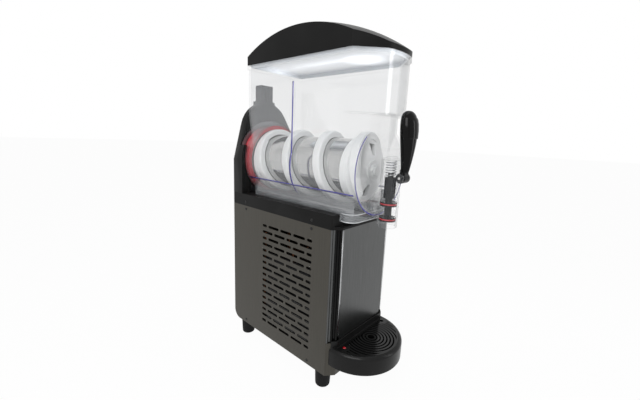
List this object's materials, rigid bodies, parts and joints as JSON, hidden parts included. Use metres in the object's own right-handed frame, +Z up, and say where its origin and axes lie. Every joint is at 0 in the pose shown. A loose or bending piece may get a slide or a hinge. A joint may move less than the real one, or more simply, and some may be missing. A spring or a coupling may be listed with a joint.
{
  "type": "slush machine",
  "caption": "Countertop slush machine: clear bowl round a chilled drum with a spiral auger, lever tap with spring piston, lift-off lid, vented cabinet, drip tray with grille.",
  "frame": {"origin": "on the floor under the middle of the bounding box", "axes": "+Z up, the tap and drip tray face -Y, the cowl is at +Y"},
  "size_m": [0.2264, 0.525, 0.847],
  "materials": {
    "side_panel_steel": "satin warm grey",
    "brushed_steel": "vertical brushed",
    "polished_steel": "polished stainless",
    "black_plastic": "fine grained moulding",
    "gloss_black_plastic": "smooth moulding",
    "clear_plastic": "clear moulding",
    "white_plastic": "smooth moulding",
    "red_rubber": "smooth",
    "black_rubber": "matt",
    "red_plastic": "smooth moulding",
    "spring_steel": "drawn wire",
    "copper": "drawn tube",
    "cast_alloy": "as cast",
    "motor_enamel": "enamel",
    "zinc_sheet": "zinc plated"
  },
  "bodies": {
    "base": {"feet": "black_rubber", "base_pan": "side_panel_steel", "left_side_panel": "side_panel_steel", "right_side_panel": "side_panel_steel", "rear_panel": "side_panel_steel", "front_panel": "brushed_steel", "corner_posts": "black_plastic", "panel_screws": "motor_enamel", "deck": "black_plastic", "motor_cowl": "black_plastic", "lamp_column": "black_plastic", "bulkhead": "black_plastic", "evaporator_drum": "polished_steel", "evaporator_coil": "copper", "shaft_bush": "white_plastic", "drum_gasket": "red_rubber", "gear_box": "cast_alloy", "gear_motor": "motor_enamel", "compressor": "motor_enamel", "compressor_grommets": "black_rubber", "condenser": "zinc_sheet", "fan_shroud": "zinc_sheet", "fan_motor": "motor_enamel", "filter_drier": "copper", "refrigerant_pipes": "copper", "electrical_box": "zinc_sheet", "power_inlet": "black_plastic", "control_plate": "black_plastic"},
    "lid": {"lid_cover": "black_plastic", "lid_liner": "clear_plastic", "lid_lamp": "white_plastic"},
    "bowl": {"bowl": "clear_plastic", "tap_spout": "clear_plastic", "tap_cap": "clear_plastic", "tap_spring": "spring_steel", "tap_pivot_pin": "polished_steel"},
    "handle": {"tap_handle": "gloss_black_plastic"},
    "piston": {"tap_piston": "gloss_black_plastic", "piston_seals": "red_rubber"},
    "auger": {"auger_spiral": "white_plastic", "auger_nose": "white_plastic", "auger_ring": "white_plastic", "auger_nut": "white_plastic", "drive_shaft": "polished_steel"},
    "fan": {"fan_blade": "black_plastic"},
    "tray": {"drip_tray": "black_plastic"},
    "grille": {"drip_grille": "black_plastic"},
    "float": {"tray_float": "red_plastic"},
    "power_switch": {"power_rocker": "red_plastic"},
    "cooling_switch": {"cooling_rocker": "gloss_black_plastic"},
    "knob": {"hardness_knob": "gloss_black_plastic"}
  },
  "joints": [
    {"name": "bowl_slide", "type": "slide", "parent": "base", "child": "bowl", "axis": [0, -1, 0], "range_m": [0, 0.38]},
    {"name": "lid_lift", "type": "slide", "parent": "bowl", "child": "lid", "axis": [0, 0, 1], "range_m": [0, 0.15]},
    {"name": "tap_pull", "type": "hinge", "parent": "bowl", "child": "handle", "pos_m": [0, -0.2395, 0.516], "axis": [1, 0, 0], "range_deg": [0, 45]},
    {"name": "piston_lift", "type": "slide", "parent": "bowl", "child": "piston", "axis": [0, 0, 1], "range_m": [0, 0.0241], "stiffness_N_per_m": 400, "springref_m": -0.02, "deforming": ["tap_spring"]},
    {"name": "auger_spin", "type": "hinge", "parent": "base", "child": "auger", "pos_m": [0, 0.0075, 0.525], "axis": [0, 1, 0], "continuous": true},
    {"name": "fan_spin", "type": "hinge", "parent": "base", "child": "fan", "pos_m": [-0.05, 0.0014, 0.1675], "axis": [1, 0, 0], "continuous": true},
    {"name": "tray_pull", "type": "slide", "parent": "base", "child": "tray", "axis": [0, -1, 0], "range_m": [0, 0.1]},
    {"name": "grille_lift", "type": "slide", "parent": "tray", "child": "grille", "axis": [0, 0, 1], "range_m": [0, 0.06]},
    {"name": "float_rise", "type": "slide", "parent": "tray", "child": "float", "axis": [0, 0, 1], "range_m": [0, 0.012]},
    {"name": "power_tip", "type": "hinge", "parent": "base", "child": "power_switch", "pos_m": [0.0985, -0.0885, 0.348], "axis": [0, -1, 0], "range_deg": [0, 20]},
    {"name": "cooling_tip", "type": "hinge", "parent": "base", "child": "cooling_switch", "pos_m": [0.0985, -0.0605, 0.348], "axis": [0, -1, 0], "range_deg": [0, 20]},
    {"name": "knob_turn", "type": "hinge", "parent": "base", "child": "knob", "pos_m": [0.0985, -0.0225, 0.348], "axis": [1, 0, 0], "range_deg": [0, 270]}
  ],
  "couplings": [
    {"joint": "piston_lift", "follows": "tap_pull", "m_per_rad": 0.030589}
  ]
}
